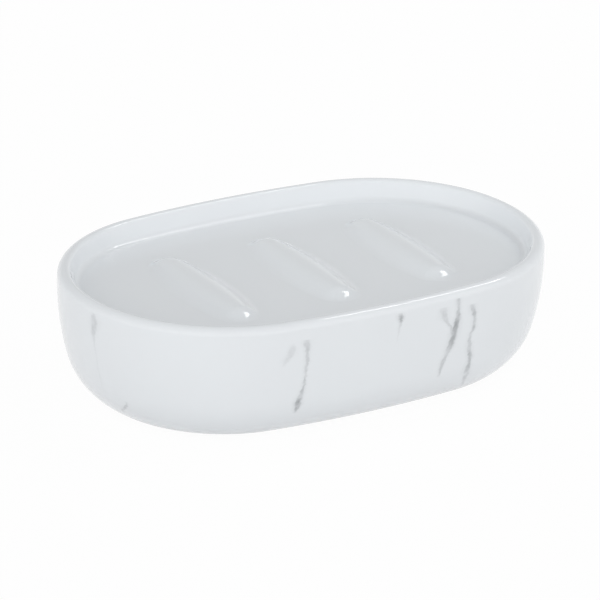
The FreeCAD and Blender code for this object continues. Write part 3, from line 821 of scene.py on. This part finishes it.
tray_floor = -TRAY_DEPTH / MM
# Partly painted shade: the tray floor and ribs take the deeper tone, fading out 1 mm up the cove. The same
# mask makes the floor dull.
tray_bottom = spread(glaze_tree, print_way["Y"], tray_floor, tray_floor + 1.0, 1.0, 0.0)
tone = mix(glaze_tree, tray_bottom, WHITE, POOLED_AND_SHADED)
mottle = spread(glaze_tree, noise(glaze_tree, place, 45, 3.0), 0.3, 0.7, 0.0, MOTTLE_SHARE)
tone = mix(glaze_tree, mottle, tone, MOTTLED)
ink_share = sum_up(glaze_tree, "MULTIPLY", ink, INK_STRENGTH, use_clamp=True)
glaze_tree.links.new(mix(glaze_tree, ink_share, tone, VEIN_GREY), glaze_shader.inputs["Base Color"])
swell = noise(glaze_tree, place, 110, 2.0)
bump = add(glaze_tree, "ShaderNodeBump", {"Height": swell, "Strength": 1.0, "Distance": SWELL_HEIGHT})
glaze_tree.links.new(bump.outputs["Normal"], glaze_shader.inputs["Normal"])
level = add(glaze_tree, "ShaderNodeSeparateXYZ", {"Vector": place}).outputs["Z"]
fade_levels = (tray_level + DULL_UP_TO, tray_level + GLOSSY_FROM)
near_floor = spread(glaze_tree, level, *fade_levels, 1.0, 0.0, smooth=True)
dull_share = sum_up(glaze_tree, "MULTIPLY", tray_bottom, near_floor)
gloss = spread(glaze_tree, dull_share, 0.0, 1.0, GLOSSY, DULL)
glaze_tree.links.new(gloss, glaze_shader.inputs["Roughness"])
dish.data.materials.append(glaze)
print(len(glaze_tree.nodes), "nodes in the glaze")

# %% [markdown]
# ## Bare clay
# The foot band was wiped before firing, so the bisque shows: matt, faintly warm and
# finely grained, with a few darker specks from the kiln shelf.

# %% Bisque
PALE_CLAY = (0.70, 0.675, 0.635, 1.0)
DARK_CLAY = (0.62, 0.59, 0.545, 1.0)
SPECK = (0.3, 0.25, 0.2, 1.0)
GRAIN_HEIGHT = 0.06 * MM

bisque, bisque_tree, bisque_shader = new_finish("bare_bisque", IOR=1.45, Roughness=0.85)
place = add(bisque_tree, "ShaderNodeTexCoord").outputs["Object"]
grain = noise(bisque_tree, place, 2600, 3.0, 0.7)
cloud = spread(bisque_tree, noise(bisque_tree, place, 140, 3.0), 0.35, 0.65)
clay = mix(bisque_tree, cloud, PALE_CLAY, DARK_CLAY)
specks = spread(bisque_tree, noise(bisque_tree, place, 1500, 1.0), 0.7, 0.76, 0.0, 0.5)
clay = mix(bisque_tree, specks, clay, SPECK)
bisque_tree.links.new(clay, bisque_shader.inputs["Base Color"])
bump = add(bisque_tree, "ShaderNodeBump", {"Height": grain, "Strength": 0.7, "Distance": GRAIN_HEIGHT})
bisque_tree.links.new(bump.outputs["Normal"], bisque_shader.inputs["Normal"])
dish.data.materials.append(bisque)

# %% [markdown]
# ## Silicone
# Silicone is soft and slightly waxy: light goes a little way in, dust dulls it in
# patches, and its face carries the fine texture of the blasted mould.

# %% Silicone of the pads and the stopper
PAD_GREY = (0.70, 0.71, 0.71)
STOPPER_WHITE = (0.78, 0.78, 0.76)
CLEAN_ROUGHNESS, DUSTY_ROUGHNESS = 0.38, 0.58
DUST_SHADE = 0.9
LIGHT_REACH = 0.6 * MM
TEXTURE_HEIGHT = 0.02 * MM


def silicone(name, colour):
    """A soft matt rubber with a fine mould texture."""
    finish, tree, shader = new_finish(name, IOR=1.41, Subsurface_Weight=0.15)
    shader.inputs["Subsurface Radius"].default_value = (1.0, 0.9, 0.8)
    shader.inputs["Subsurface Scale"].default_value = LIGHT_REACH
    place = add(tree, "ShaderNodeTexCoord").outputs["Object"]
    dust = spread(tree, noise(tree, place, 600, 3.0), 0.35, 0.65)
    dulled = spread(tree, dust, 0, 1, CLEAN_ROUGHNESS, DUSTY_ROUGHNESS)
    tree.links.new(dulled, shader.inputs["Roughness"])
    dusty = tuple(part * DUST_SHADE for part in colour)
    tree.links.new(mix(tree, dust, (*colour, 1.0), (*dusty, 1.0)), shader.inputs["Base Color"])
    texture = noise(tree, place, 5200, 2.0, 0.6)
    bump = add(tree, "ShaderNodeBump", {"Height": texture, "Strength": 0.5, "Distance": TEXTURE_HEIGHT})
    tree.links.new(bump.outputs["Normal"], shader.inputs["Normal"])
    return finish


pad_finish = silicone("pad_silicone", PAD_GREY)
for grip in soft_pieces:
    grip.data.materials.append(pad_finish)
stopper.data.materials.append(silicone("stopper_silicone", STOPPER_WHITE))

# %% [markdown]
# ## Floor and studio
# The dish stands on a seamless white floor. To the camera and to reflections the
# floor is nearly all plain white. The rest of it is a matt surface that takes the
# dish's shadow, and towards the dish it throws its light back as white paper does.

# %% Floor
FLOOR_REACH = 6.0
FLOOR_PLAIN = 0.97
PAPER_WHITE = (0.84, 0.84, 0.84, 1.0)

floor_work = bmesh.new()
corners = [(-1, -1), (1, -1), (1, 1), (-1, 1)]
floor_work.faces.new([floor_work.verts.new((x * FLOOR_REACH, y * FLOOR_REACH, 0)) for x, y in corners])
floor = new_piece("studio_floor", floor_work)

paper, paper_tree, paper_shader = new_finish("white_paper", Base_Color=PAPER_WHITE, Roughness=1.0)
paper_shader.inputs["Specular IOR Level"].default_value = 0.0
rays = add(paper_tree, "ShaderNodeLightPath").outputs
seen = sum_up(paper_tree, "MAXIMUM", rays["Is Camera Ray"], rays["Is Glossy Ray"])
seen = sum_up(paper_tree, "MAXIMUM", seen, rays["Is Transmission Ray"])
plain = add(paper_tree, "ShaderNodeEmission", {"Color": (1.0, 1.0, 1.0, 1.0), "Strength": 1.0})
share = sum_up(paper_tree, "MULTIPLY", seen, FLOOR_PLAIN)
sockets = {0: share, 1: paper_shader.outputs[0], 2: plain.outputs[0]}
both = add(paper_tree, "ShaderNodeMixShader", sockets)
paper_tree.links.new(both.outputs[0], paper_tree.nodes["Material Output"].inputs["Surface"])
floor.data.materials.append(paper)

# %% [markdown]
# The studio round the dish is a pale room, lit from the camera's side: wide soft
# light in front, less behind. So the wall that we see is brighter than the tray,
# which faces the darker ceiling. Either half has its own ramp of tones over height,
# as gloss needs something to show, and they blend at the sides.

# %% World
ROOM_BEHIND = [
    (0.0, 1.0), (0.08, 0.92), (0.18, 0.79), (0.3, 0.62),
    (0.42, 0.5), (0.7, 0.44), (0.85, 0.38), (1.0, 0.25),
]
ROOM_IN_FRONT = [(0.0, 1.38), (0.18, 1.54), (0.42, 1.48), (0.7, 1.08), (0.85, 0.76), (1.0, 0.38)]
FRONT_TURN = math.radians(-131)
BLEND_FROM, BLEND_TO = -0.6, 0.9

world = bpy.data.worlds.new("studio")
bpy.context.scene.world = world
world.use_nodes = True
room = world.node_tree
direction = add(room, "ShaderNodeTexCoord").outputs["Generated"]
height = add(room, "ShaderNodeSeparateXYZ", {"Vector": direction}).outputs["Z"]


def room_ramp(shades):
    """Grey tones over height, from the horizon to overhead."""
    ramp = add(room, "ShaderNodeValToRGB", {"Fac": height})
    while len(ramp.color_ramp.elements) < len(shades):
        ramp.color_ramp.elements.new(0.5)
    for element, (level, shade) in zip(ramp.color_ramp.elements, shades):
        element.position = level
        element.color = (shade, shade, shade, 1.0)
    return ramp.outputs["Color"]


front = (math.cos(FRONT_TURN), math.sin(FRONT_TURN), 0.0)
compared = add(room, "ShaderNodeVectorMath", {0: direction, 1: front}, operation="DOT_PRODUCT")
front_share = spread(room, compared.outputs["Value"], BLEND_FROM, BLEND_TO, smooth=True)
light = mix(room, front_share, room_ramp(ROOM_BEHIND), room_ramp(ROOM_IN_FRONT))
room.links.new(light, room.nodes["Background"].inputs["Color"])

# %% [markdown]
# One lamp hangs high on the right, taller than it is wide: it puts the sharp glints
# on the ribs' tips, in the cove and along the rim.

# %% Lamp
LAMP_TOWARDS = (0.59, 0.0, 0.807)
LAMP_DISTANCE = 0.9
LAMP_WIDTH, LAMP_HEIGHT = 0.16, 0.38
LAMP_RADIANCE = 7.0


def lamp(name, towards, distance, width, height, radiance):
    """An area lamp that faces the dish. Its strength is given as the radiance of its face."""
    data = bpy.data.lights.new(name, "AREA")
    data.shape = "RECTANGLE"
    data.size = width
    data.size_y = height
    data.energy = radiance * width * height * math.pi
    made = bpy.data.objects.new(name, data)
    bpy.context.scene.collection.objects.link(made)
    aim = Vector(towards).normalized()
    made.location = aim * distance + Vector((0, 0, rim_level))
    made.rotation_euler = aim.to_track_quat("Z", "Y").to_euler()
    return made


lamp("high_right", LAMP_TOWARDS, LAMP_DISTANCE, LAMP_WIDTH, LAMP_HEIGHT, LAMP_RADIANCE)

# %% [markdown]
# ## Camera
# The camera looks from the front left, a little from above, through a long lens.
# Its place was worked out from the outline of the rim in the photograph.

# %% Camera
AZIMUTH = math.radians(-30.896)
ELEVATION = math.radians(22.480)
ROLL = math.radians(1.160)
DISTANCE = 1.41265
FOCUS_LEVEL = 14.8 * MM
AIM_RIGHT, AIM_UP = -0.43 * MM, 4.89 * MM
SENSOR = 36.0
FOCAL_LENGTH = 320.9
FARTHEST_SEEN = 100.0

level_back = Vector((math.sin(AZIMUTH), -math.cos(AZIMUTH), 0))
back = level_back * math.cos(ELEVATION) + Vector((0, 0, math.sin(ELEVATION)))
level_right = Vector((0, 0, 1)).cross(back).normalized()
level_up = back.cross(level_right)
right = level_right * math.cos(ROLL) + level_up * math.sin(ROLL)
upright = level_up * math.cos(ROLL) - level_right * math.sin(ROLL)
aim = Vector((0, 0, FOCUS_LEVEL)) + right * AIM_RIGHT + upright * AIM_UP

camera_data = bpy.data.cameras.new("camera")
camera_data.sensor_width = SENSOR
camera_data.lens = FOCAL_LENGTH
camera_data.clip_end = FARTHEST_SEEN
camera = bpy.data.objects.new("camera", camera_data)
bpy.context.scene.collection.objects.link(camera)
turned_axes = Matrix((right, upright, back)).transposed().to_4x4()
camera.matrix_world = Matrix.Translation(aim + back * DISTANCE) @ turned_axes
bpy.context.scene.camera = camera
bpy.context.scene.view_settings.view_transform = "Standard"
print("camera at", [round(part, 3) for part in camera.location])
